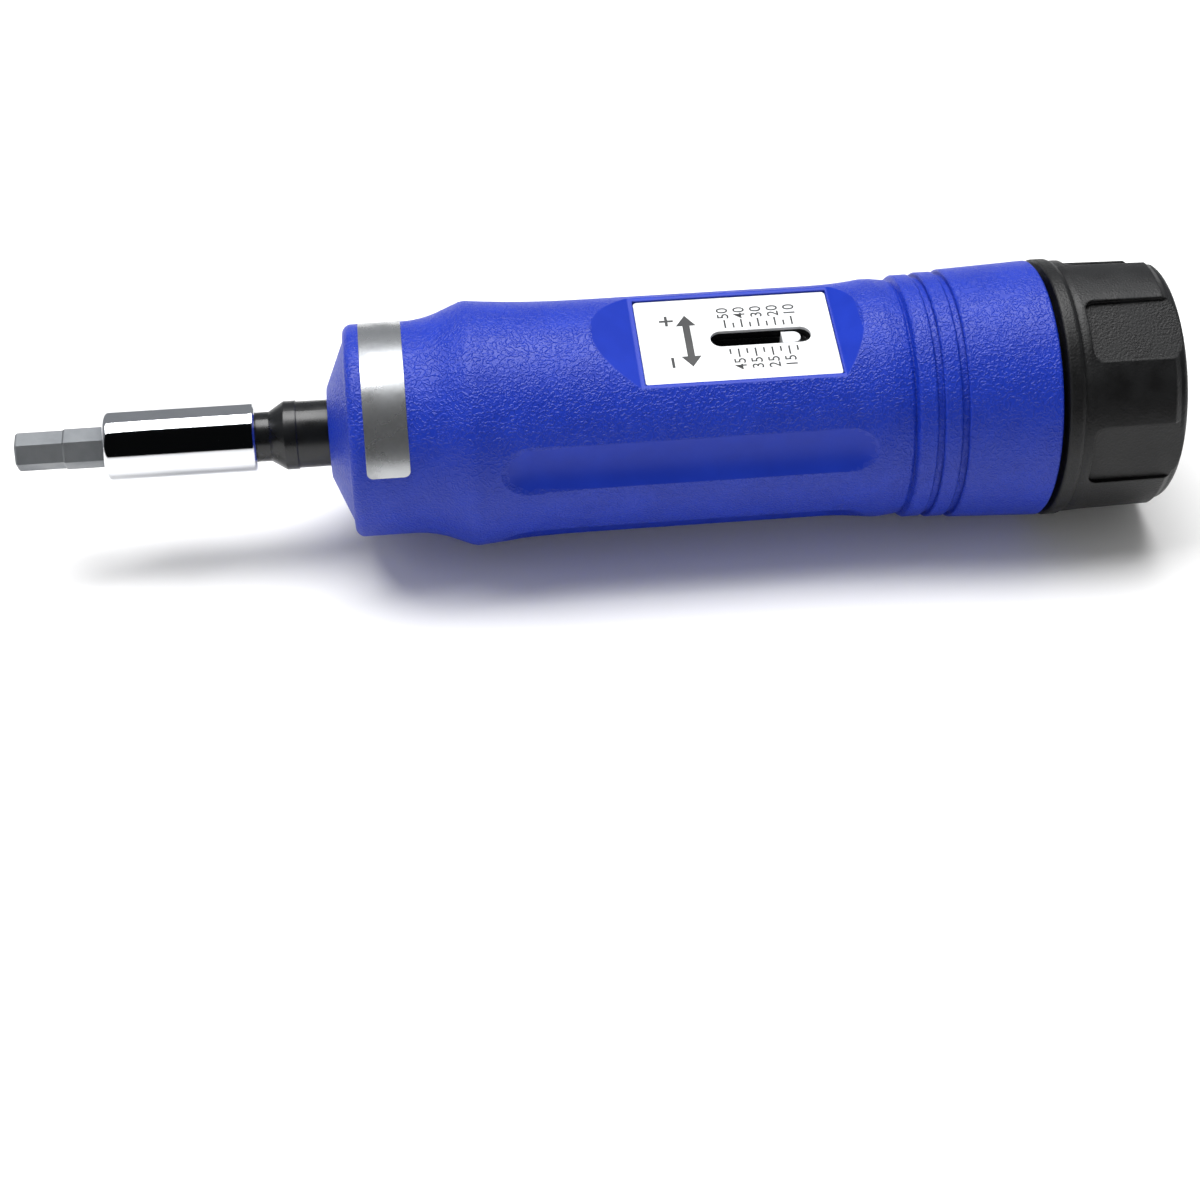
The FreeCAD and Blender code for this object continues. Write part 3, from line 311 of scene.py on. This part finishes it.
SURFACES = (
    # Deep saturated blue whose leather grain scatters the highlight into small wandering glints.
    LeatherGrain(Finish.BLUE_ABS, "#072ca4", "#0a30ac", 0.44, grain_depth=0.08 * MM, gloss_spread=0.02,
                 edge_radius=0.4 * MM, shine=0.42),
    # The same blue without grain, so the flutes and the window's flats shade evenly.
    Surface(Finish.BLUE_ABS_SMOOTH, "#072ca4", "#0a30ac", 0.42, grain_size=0.6 * MM,
            grain_depth=0.004 * MM, gloss_spread=0.02, edge_radius=0.4 * MM, shine=0.3),
    # Near black with a broad dull sheen, and soft light along the recesses' edges.
    Surface(Finish.BLACK_NYLON, "#0b0b0c", "#131415", 0.46, grain_size=0.4 * MM, grain_depth=0.09 * MM,
            edge_radius=0.6 * MM, shine=0.38),
    # A mirror: its bands of black and white are the surround, drawn out along the cylinder.
    Surface(Finish.CHROME, "#e6e7ea", "#dfe1e4", 0.04, metal=1.0, gloss_spread=0.01, grain_size=4.0 * MM,
            grain_depth=0.0003 * MM, edge_radius=0.4 * MM),
    # Light and matt, so it reads clearly against the slot, dark from the black sleeve inside and from the
    # shade painted on its wall.
    Surface(Finish.NICKEL, "#c4c6c8", "#b4b6b9", 0.5, metal=0.2, grain_size=0.2 * MM),
    # Satin black with one clear highlight and faint turning marks.
    Surface(Finish.BLACK_OXIDE, "#0c0d0e", "#141517", 0.30, grain_size=0.2 * MM,
            grain_depth=0.006 * MM, grain_stretch=(3, 0.4, 0.4), edge_radius=0.3 * MM),
    # Mid grey and dull; each flat of the hexagon takes a tone of its own.
    Surface(Finish.TOOL_STEEL, "#84878a", "#75787c", 0.50, metal=0.75, grain_size=0.25 * MM,
            grain_depth=0.012 * MM, grain_stretch=(0.4, 3, 3), edge_radius=0.14 * MM),
    # Clean bright metal with fine grinding lines.
    Surface(Finish.GROUND_STEEL, "#b4b6b9", "#a2a4a8", 0.26, metal=1.0, grain_size=0.3 * MM,
            grain_stretch=(3, 0.4, 0.4)),
    # Dark metal under a film of oil.
    Surface(Finish.SPRING_WIRE, "#6b6d70", "#55575a", 0.3, metal=1.0),
    # Warm and dull, with the pores of a pressed powder.
    Surface(Finish.BRONZE, "#a9783c", "#8a5f2e", 0.45, metal=1.0, grain_size=0.2 * MM,
            grain_depth=0.02 * MM),
    # Clean white that lets the print stand out.
    Surface(Finish.PLATE, "#e6e7e8", "#dadcde", 0.42, grain_size=0.5 * MM, grain_depth=0.004 * MM),
    # Flat black without a highlight.
    Surface(Finish.INK, "#121315", "#1b1c1f", 0.5),
    # Brushed silver: brushing along the label spreads the light into streaks.
    Surface(Finish.FOIL, "#b9bbbd", "#8f9194", 0.30, metal=0.85, grain_size=0.3 * MM,
            grain_depth=0.012 * MM, grain_stretch=(6, 0.3, 0.3), gloss_spread=0.12),
    # Plain bright plating.
    Surface(Finish.MAGNET, "#a5a6a8", "#8f9092", 0.3, metal=1.0),
    # Soft black without shine.
    Surface(Finish.RUBBER, "#141415", "#1b1b1c", 0.6, grain_depth=0.02 * MM),
    # Pale and matt, so that it shows only the shadow.
    Surface(Finish.FLOOR, "#f6f6f6", "#f3f3f3", 0.7, wear_size=200.0 * MM, grain_size=3.0 * MM,
            grain_depth=0.02 * MM),
)

# Which finish each CAD node is given; every other node is ground steel, like the clutch rollers.
DRESS: dict[Finish, tuple[str, ...]] = {
    Finish.BLUE_ABS: ("handle_shell",),
    Finish.BLACK_NYLON: ("knob", "end_cap", "lock_ring"),
    Finish.CHROME: ("bit_holder",),
    Finish.BLACK_OXIDE: ("spindle", "barrel_tube", "indicator_sleeve"),
    Finish.TOOL_STEEL: ("hex_bit",),
    Finish.GROUND_STEEL: ("thrust_washer", "anti_rotation_pin_front", "anti_rotation_pin_rear", "guide_key",
                          "rear_washer", "rear_bearing_plate", "pressure_plate", "spring_seat",
                          "adjusting_screw", "end_washer", "end_screw", "detent_ball"),
    Finish.NICKEL: ("indicator_nut",),
    Finish.SPRING_WIRE: ("main_spring", "detent_spring", "retaining_ring"),
    Finish.BRONZE: ("nose_bush",),
    Finish.PLATE: ("scale_plate",),
    Finish.FOIL: ("serial_label",),
    Finish.MAGNET: ("holder_magnet",),
    Finish.RUBBER: ("lock_o_ring",),
}


def dress_nodes(materials: dict[Finish, bpy.types.Material]) -> None:
    """Give every CAD node its finish and smooth shading.

    Args:
        materials: the materials by finish.
    """
    chosen = {node: finish for finish, nodes in DRESS.items() for node in nodes}
    for name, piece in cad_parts.items():
        finish = chosen.get(name, Finish.GROUND_STEEL)
        piece.data.materials.clear()
        piece.data.materials.append(materials[finish])
        shade(piece)
    # The slot's wall in the blue shell takes the black nylon finish, as painted shade.
    Grip().polish(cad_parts["handle_shell"], materials[Finish.BLUE_ABS_SMOOTH],
                  materials[Finish.BLACK_NYLON])


@dataclass(frozen=True)
class Grip:
    """Where the moulding is polished: the flutes and the window's flats, which lie below the grip."""

    grained_radius: float = 20.98 * MM
    slot_radius: float = 17.1 * MM
    front: float = -20.0 * MM
    rear: float = 48.0 * MM

    def polish(self, shell: Piece, smooth: bpy.types.Material, slot_shade: bpy.types.Material) -> None:
        """Give the flutes and the window the polished finish, and paint the slot's blue wall black as
        painted shade.

        Args:
            shell: the handle's mesh object.
            smooth: the polished finish.
            slot_shade: the black finish painted on the slot's wall as its shade.
        """
        height = axis_height()
        shell.data.materials.append(smooth)
        shell.data.materials.append(slot_shade)
        for face in shell.data.polygons:
            spot = face.center
            radius = math.hypot(spot.y, spot.z - height)
            if self.front < spot.x < self.rear and radius < self.grained_radius:
                # Faces below the slot's radius take the black finish: painted shade on the moulding's blue
                # slot wall.
                face.material_index = 2 if radius < self.slot_radius else 1


def shade(piece: Piece, angle: float = 28.0) -> None:
    """Shade a piece smooth across its shallow edges.

    Args:
        piece: the mesh object.
        angle: the steepest edge that stays smooth, in degrees.
    """
    piece.data.set_sharp_from_angle(angle=math.radians(angle))


def axis_height() -> float:
    """Height of the driver's axis over the floor, on which the knob, the widest piece, lies.

    Returns:
        The height in metres.
    """
    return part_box("knob")[1].z / 2


# ---------------------------------------------------------------------------------------------
# Frame of the window, in which the printed plate is laid out


@dataclass(frozen=True)
class Window:
    """The flat that carries the scale plate: local X runs along the driver and Z out of the plate."""

    plate_thickness: float = 0.6 * MM
    plate_centre: Vector = field(default_factory=lambda: sum(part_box("scale_plate"), Vector()) / 2)

    def turn(self) -> Matrix:
        """Rotation from the window's axes to the part's."""
        return Matrix.Rotation(math.radians(ROLL), 4, "X")

    def face(self) -> float:
        """Distance from the plate's middle plane to its printed face."""
        return self.plate_thickness / 2

    def matrix(self) -> Matrix:
        """Places the plate's centre, with its printed face on local Z = face()."""
        return Matrix.Translation(self.plate_centre) @ self.turn()


@dataclass
class ScalePrint:
    """Black print on the scale plate: ticks, numbers and the double arrow."""

    window: Window
    step: float = 3.0 * MM
    first: int = 50
    last: int = 10
    value_step: int = 5
    numbered_every: int = 10
    first_place: float = -1.62 * MM
    slot_half: float = 1.9 * MM
    gap: float = 0.75 * MM
    long_tick: float = 2.1 * MM
    short_tick: float = 1.25 * MM
    tick_width: float = 0.32 * MM
    digit_height: float = 2.15 * MM
    thickness: float = 0.03 * MM
    number_lift: float = 0.75
    type_size: float = 1.35
    type_weight: float = 0.02 * MM
    arrow_place: float = -8.6 * MM
    arrow_reach: float = 6.4 * MM
    arrow_width: float = 1.3 * MM
    head_length: float = 2.6 * MM
    head_width: float = 3.6 * MM
    sign_back: float = 3.4 * MM
    sign_inset: float = 1.2 * MM
    sign_reach: float = 1.25 * MM
    sign_half: float = 0.25 * MM

    def build(self, materials: dict[Finish, bpy.types.Material]) -> list[Piece]:
        """Make the print.

        Args:
            materials: the materials by finish.
        Returns:
            The pieces.
        """
        ticks, pieces = [], []
        for number, value in enumerate(range(self.first, self.last - 1, -self.value_step)):
            along = self.first_place + number * self.step / 2
            whole = value % self.numbered_every == 0
            far = self.long_tick if whole else self.short_tick
            near = self.short_tick if whole else self.long_tick
            start = self.slot_half + self.gap
            ticks.append((along, start, start + far))
            ticks.append((along, -start - near, -start))
            side = 1 if whole else -1
            spot = side * (start + self.long_tick + self.digit_height * self.number_lift)
            pieces.append(self.number(str(value), along, spot))
        outlines = [self.bar(*tick) for tick in ticks]
        outlines.append(self.arrow())
        for side in (1, -1):
            outlines.extend(self.sign(side))
        pieces.append(flat_piece("scale_print", outlines, self.window.face(), self.thickness))
        for piece in pieces:
            piece.matrix_world = self.window.matrix() @ piece.matrix_world
            piece.data.materials.append(materials[Finish.INK])
            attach(piece, "handle")
        return pieces

    def bar(self, along: float, low: float, high: float) -> list[tuple[float, float]]:
        """Outline of one tick.

        Args:
            along: its middle along the plate.
            low: its near end across the plate.
            high: its far end.
        Returns:
            Its four corners.
        """
        half = self.tick_width / 2
        return [(along - half, low), (along + half, low), (along + half, high), (along - half, high)]

    def sign(self, side: int) -> list[list[tuple[float, float]]]:
        """A plus at the far end of the arrow and a minus at its near end.

        Args:
            side: 1 for the plus and -1 for the minus.
        Returns:
            The outlines of the sign's strokes.
        """
        reach, half = self.sign_reach, self.sign_half
        along = self.arrow_place - self.sign_back
        middle = side * (self.arrow_reach - self.sign_inset)
        across = [(along - half, middle - reach), (along + half, middle - reach),
                  (along + half, middle + reach), (along - half, middle + reach)]
        if side < 0:
            return [across]
        stem = [(along - reach, middle - half), (along - half, middle - half),
                (along - half, middle + half), (along - reach, middle + half)]
        other = [(2 * along - x, y) for x, y in reversed(stem)]
        return [across, stem, other]

    def arrow(self) -> list[tuple[float, float]]:
        """Outline of the double arrow that runs round the driver."""
        along, reach = self.arrow_place, self.arrow_reach
        neck, half, wide = reach - self.head_length, self.arrow_width / 2, self.head_width / 2
        right = [(along, -reach), (along + wide, -neck), (along + half, -neck),
                 (along + half, neck), (along + wide, neck), (along, reach)]
        left = [(2 * along - x, y) for x, y in reversed(right[1:-1])]
        return right + left

    def number(self, text: str, along: float, across: float) -> Piece:
        """One number, its top towards the bit, so that it reads from the knob's end.

        Args:
            text: the digits.
            along: its middle along the plate.
            across: its middle across the plate.
        Returns:
            A mesh of the digits.
        """
        curve = bpy.data.curves.new(f"number_{text}", "FONT")
        curve.body = text
        curve.size = self.digit_height * self.type_size
        curve.align_x = "CENTER"
        curve.align_y = "CENTER"
        curve.offset = self.type_weight
        curve.extrude = self.thickness / 2
        maker = bpy.data.objects.new("maker", curve)
        bpy.context.scene.collection.objects.link(maker)
        graph = bpy.context.evaluated_depsgraph_get()
        mesh = bpy.data.meshes.new_from_object(maker.evaluated_get(graph))
        bpy.data.objects.remove(maker)
        piece = bpy.data.objects.new(f"scale_number_{text}", mesh)
        bpy.context.scene.collection.objects.link(piece)
        spot = Matrix.Translation((along, across, self.window.face()))
        piece.matrix_world = spot @ Matrix.Rotation(math.pi / 2, 4, "Z")
        return piece


def flat_piece(name: str, outlines: list[list[tuple[float, float]]], lift: float,
               thickness: float) -> Piece:
    """A thin piece made of flat outlines, half of it above their level and half below.

    Args:
        name: the piece's name.
        outlines: closed outlines in the plane of X and Y.
        lift: their level along Z.
        thickness: how thick the piece is.
    Returns:
        The piece.
    """
    spots, faces = [], []
    for outline in outlines:
        count, first = len(outline), len(spots)
        for level in (lift - thickness / 2, lift + thickness / 2):
            spots.extend((x, y, level) for x, y in outline)
        faces.append([first + n for n in reversed(range(count))])
        faces.append([first + count + n for n in range(count)])
        for n in range(count):
            following = (n + 1) % count
            faces.append([first + n, first + following, first + count + following, first + count + n])
    return mesh_piece(name, spots, faces)


def mesh_piece(name: str, spots: list[tuple[float, float, float]], faces: list[list[int]]) -> Piece:
    """A mesh object in the scene, with its faces turned outwards.

    Args:
        name: the piece's name.
        spots: its vertices.
        faces: vertex numbers of each face.
    Returns:
        The piece.
    """
    mesh = bpy.data.meshes.new(name)
    mesh.from_pydata(spots, [], faces)
    form = bmesh.new()
    form.from_mesh(mesh)
    bmesh.ops.recalc_face_normals(form, faces=form.faces)
    form.to_mesh(mesh)
    form.free()
    piece = bpy.data.objects.new(name, mesh)
    bpy.context.scene.collection.objects.link(piece)
    return piece


@dataclass
class Pointer:
    """Light pointer on the indicator, whose front end is the reading line in the slot."""

    window: Window
    front: float = 33.0 * MM
    length: float = 3.4 * MM
    width: float = 2.7 * MM
    foot: float = 14.0 * MM
    top: float = 17.0 * MM
    corner_steps: int = 8

    def build(self, materials: dict[Finish, bpy.types.Material]) -> Piece:
        """Make the pointer: square in front and round behind, like the slot's own end.

        Args:
            materials: the materials by finish.
        Returns:
            The piece.
        """
        half = self.width / 2
        middle = self.front + self.length - half
        outline = [(self.front, half), (self.front, -half)]
        for n in range(self.corner_steps + 1):
            angle = math.pi * (n / self.corner_steps - 0.5)
            outline.append((middle + half * math.cos(angle), half * math.sin(angle)))
        count = len(outline)
        spots = [(x, y, level) for level in (self.foot, self.top) for x, y in outline]
        faces = [list(reversed(range(count))), list(range(count, 2 * count))]
        for n in range(count):
            following = (n + 1) % count
            faces.append([n, following, count + following, count + n])
        piece = mesh_piece("indicator_pointer", spots, faces)
        height = axis_height()
        piece.matrix_world = Matrix.Translation((0, 0, height)) @ self.window.turn()
        piece.data.materials.append(materials[Finish.NICKEL])
        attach(piece, "indicator")
        return piece


@dataclass
class FoilLabel:
    """Silver label round the front band, with round corners and bare of any print."""

    start: float = -60.0
    sweep: float = 130.0
    corner: float = 1.1 * MM
    lift: float = 0.1 * MM
    sink: float = 0.02 * MM
    steps: int = 120
    corner_steps: int = 6

    def build(self, materials: dict[Finish, bpy.types.Material]) -> Piece:
        """Make the label from its CAD band's own width and radius.

        Args:
            materials: the materials by finish.
        Returns:
            The piece.
        """
        low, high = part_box("serial_label")
        height = axis_height()
        radius = high.z - height - self.sink
        around = math.radians(self.sweep)
        inset = self.corner / radius
        quarter = [math.pi / 2 * n / self.corner_steps for n in range(self.corner_steps)]
        places = [inset * (1 - math.cos(angle)) for angle in quarter]
        middle = [inset + (around - 2 * inset) * n / self.steps for n in range(self.steps + 1)]
        places = places + middle + [around - place for place in reversed(places)]
        spots, faces = [], []
        for turn in places:
            from_end = min(turn, around - turn, inset)
            aside = (inset - from_end) * radius
            cut = self.corner - math.sqrt(max(self.corner ** 2 - aside ** 2, 0.0))
            angle = math.radians(self.start + ROLL) + turn
            for reach in (radius - self.lift, radius):
                for x in (low.x + cut, high.x - cut):
                    spots.append((x, reach * math.sin(-angle), height + reach * math.cos(angle)))
        for n in range(len(places) - 1):
            here, there = 4 * n, 4 * n + 4
            for a, b in ((2, 3), (1, 0), (0, 2), (3, 1)):
                faces.append([here + a, here + b, there + b, there + a])
        last = 4 * len(places) - 4
        faces += [[0, 1, 3, 2], [last + 2, last + 3, last + 1, last]]
        piece = mesh_piece("foil_label", spots, faces)
        piece.data.materials.append(materials[Finish.FOIL])
        shade(piece)
        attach(piece, "handle")
        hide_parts("serial_label")
        return piece


@dataclass
class ChromeHolder:
    """Turned bit holder with a rounded mouth, a bevelled rear edge and a hexagonal socket."""

    mouth_round: float = 1.0 * MM
    rear_bevel: float = 0.4 * MM
    socket_across: float = 6.45 * MM
    socket_turn: float = 5.0
    segments: int = 180
    round_steps: int = 10
    ring_shares: tuple[float, ...] = (0.25, 0.5, 0.75)

    def profile(self, front: float, rear: float, radius: float) -> list[tuple[float, float]]:
        """Outer profile from the mouth to the rear face.

        Args:
            front: the mouth's place along X.
            rear: the rear face's place along X.
            radius: the holder's radius.
        Returns:
            Pairs of place along X and radius.
        """
        points = []
        for n in range(self.round_steps + 1):
            angle = math.pi / 2 * n / self.round_steps
            points.append((front + self.mouth_round * (1 - math.sin(angle)),
                           radius - self.mouth_round * (1 - math.cos(angle))))
        points.reverse()
        middle = [(front + (rear - front) * share, radius) for share in self.ring_shares]
        return points + middle + [(rear - self.rear_bevel, radius), (rear, radius - self.rear_bevel)]

    def socket(self, turn: float) -> float:
        """Radius of the hexagonal socket.

        Args:
            turn: the angle round the axis, in radians.
        Returns:
            The distance from the axis to the socket's wall.
        """
        from_flat = (turn - math.radians(self.socket_turn)) % (math.pi / 3) - math.pi / 6
        return self.socket_across / 2 / math.cos(from_flat)

    def build(self, materials: dict[Finish, bpy.types.Material]) -> Piece:
        """Make the holder in the place of its CAD node.

        Args:
            materials: the materials by finish.
        Returns:
            The piece.
        """
        low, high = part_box("bit_holder")
        radius, height = (high.y - low.y) / 2, axis_height()
        outer = self.profile(low.x, high.x, radius)
        inner = [(high.x, None), (low.x, None)]
        spots, faces = [], []
        for n in range(self.segments):
            turn = 2 * math.pi * n / self.segments
            for x, reach in outer + inner:
                reach = self.socket(turn) if reach is None else reach
                spots.append((x, reach * math.cos(turn), height + reach * math.sin(turn)))
        count = len(outer) + len(inner)
        for n in range(self.segments):
            here, there = n * count, (n + 1) % self.segments * count
            for k in range(count):
                following = (k + 1) % count
                faces.append([here + k, there + k, there + following, here + following])
        piece = mesh_piece("chrome_holder", spots, faces)
        piece.data.materials.append(materials[Finish.CHROME])
        shade(piece)
        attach(piece, "spindle")
        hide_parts("bit_holder")
        return piece


@dataclass(frozen=True)
class Spring:
    """A coil spring in the place of its CAD node."""

    node: str
    body: str
    joint: str
    travel: float
    axis: tuple[float, float, float]
    slack: float = 0.02 * MM

    def build(self, materials: dict[Finish, bpy.types.Material]) -> Piece:
        """Copy the spring's mesh into a piece of its own, with the spring wire finish.

        Args:
            materials: the materials by finish.
        Returns:
            The piece.
        """
        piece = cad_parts[self.node].copy()
        piece.data = piece.data.copy()
        piece.name = f"{self.node}_coil"
        piece.parent = None
        bpy.context.scene.collection.objects.link(piece)
        piece.data.materials.clear()
        piece.data.materials.append(materials[Finish.SPRING_WIRE])
        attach(piece, self.body)
        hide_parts(self.node)
        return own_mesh(piece)


SPRINGS = (
    Spring("main_spring", "handle", "nut_travel", 10.5 * MM, (1.0, 0.0, 0.0)),
    Spring("detent_spring", "spindle", "detent_press", 0.5 * MM, (0.0, -0.190809, 0.981627), 0.1 * MM),
)


# ---------------------------------------------------------------------------------------------
# Studio


@dataclass(frozen=True)
class Lamp:
    """One soft light: where it is, what it points at, its size and its power."""

    name: str
    spot: tuple[float, float, float]
    size: tuple[float, float]
    power: float
    aim: tuple[float, float, float] = (0.0, 0.0, 0.02)
    mirrored: bool = True

    def hang(self) -> None:
        """Make the light."""
        light = bpy.data.lights.new(self.name, "AREA")
        light.shape = "RECTANGLE"
        light.size, light.size_y = self.size
        light.energy = self.power
        lamp = bpy.data.objects.new(self.name, light)
        lamp.location = self.spot
        lamp.visible_glossy = self.mirrored
        lamp.rotation_euler = (Vector(self.aim) - Vector(self.spot)).to_track_quat("-Z", "Y").to_euler()
        bpy.context.scene.collection.objects.link(lamp)


@dataclass(frozen=True)
class Studio:
    """Pale floor, soft overhead light and a white surround."""

    floor_size: float = 6.0
    lamps: tuple[Lamp, ...] = (
        Lamp("overhead softbox", (-0.05, 0.17, 0.75), (0.9, 0.45), 10.0),
        Lamp("front fill", (0.15, -0.9, 0.45), (0.7, 0.4), 0.8, mirrored=False),
        Lamp("left strip", (-0.8, -0.1, 0.45), (0.3, 0.7), 1.0, mirrored=False),
    )
    azimuth: float = -6.2971
    elevation: float = 40.0
    distance: float = 0.43676
    target: tuple[float, float, float] = (0.000921, 0.0, -0.020404)
    lens: float = 67.3247
    sensor: float = 36.0
    near_clip: float = 0.01
    soft_light: float = 0.30
    mirrored_light: float = 0.95
    dark_edge: tuple[float, float] = (-0.16, -0.06)

    def build(self, materials: dict[Finish, bpy.types.Material]) -> None:
        """Lay the floor, hang the lights, light the surround and set the camera.

        Args:
            materials: the materials by finish.
        """
        half = self.floor_size / 2
        mesh = bpy.data.meshes.new("floor")
        mesh.from_pydata([(-half, -half, 0), (half, -half, 0), (half, half, 0), (-half, half, 0)], [],
                         [(0, 1, 2, 3)])
        floor = bpy.data.objects.new("floor", mesh)
        bpy.context.scene.collection.objects.link(floor)
        mesh.materials.append(materials[Finish.FLOOR])
        for lamp in self.lamps:
            lamp.hang()
        self.surround()
        self.camera()

    def surround(self) -> None:
        """White for the camera; for reflections grey behind, with a dark zone on the near side."""
        world = bpy.data.worlds.new("studio surround")
        bpy.context.scene.world = world
        world.use_nodes = True
        tree = world.node_tree
        tree.nodes.clear()
        spot = put(tree, "TexCoord").outputs["Generated"]
        split = put(tree, "SeparateXYZ", {"Vector": spot}).outputs
        zone = spread(tree, split["Y"], 1.0, 0.0, *self.dark_edge)
        shown = blend(tree, zone, linear("#8f9296"), linear("#08090a"))
        soft = put(tree, "Background", Color=linear("#f3f3f2"), Strength=self.soft_light)
        mirror = put(tree, "Background", {"Color": shown}, Strength=self.mirrored_light)
        white = put(tree, "Background", Color=(1, 1, 1, 1), Strength=1.0)
        path = put(tree, "LightPath").outputs
        shiny = put(tree, "Math", {0: path["Is Glossy Ray"], 1: path["Is Transmission Ray"]},
                    operation="MAXIMUM").outputs[0]
        inner = put(tree, "MixShader", {0: shiny, 1: soft.outputs[0], 2: mirror.outputs[0]}).outputs[0]
        outer = put(tree, "MixShader", {0: path["Is Camera Ray"], 1: inner, 2: white.outputs[0]}).outputs[0]
        put(tree, "OutputWorld", {"Surface": outer})

    def camera(self) -> None:
        """Set the camera that looks down at the driver from the near side."""
        data = bpy.data.cameras.new("camera")
        data.lens = self.lens
        data.sensor_width = self.sensor
        data.clip_start = self.near_clip
        camera = bpy.data.objects.new("camera", data)
        turn, rise = math.radians(self.azimuth), math.radians(self.elevation)
        back = Vector((math.sin(turn) * math.cos(rise), -math.cos(turn) * math.cos(rise), math.sin(rise)))
        camera.location = Vector(self.target) + back * self.distance
        camera.rotation_mode = "QUATERNION"
        camera.rotation_quaternion = (-back).to_track_quat("-Z", "Y")
        bpy.context.scene.collection.objects.link(camera)
        bpy.context.scene.camera = camera


def main() -> None:
    """Dress the CAD nodes, add the printed details and set the studio."""
    logging.basicConfig(level=logging.INFO)
    bpy.context.scene.view_settings.view_transform = "Standard"
    materials = {surface.finish: surface.make() for surface in SURFACES}
    dress_nodes(materials)
    window = Window()
    ScalePrint(window).build(materials)
    Pointer(window).build(materials)
    FoilLabel().build(materials)
    ChromeHolder().build(materials)
    for spring in SPRINGS:
        spring.build(materials)
    Studio().build(materials)


if __name__ == "__main__":
    main()
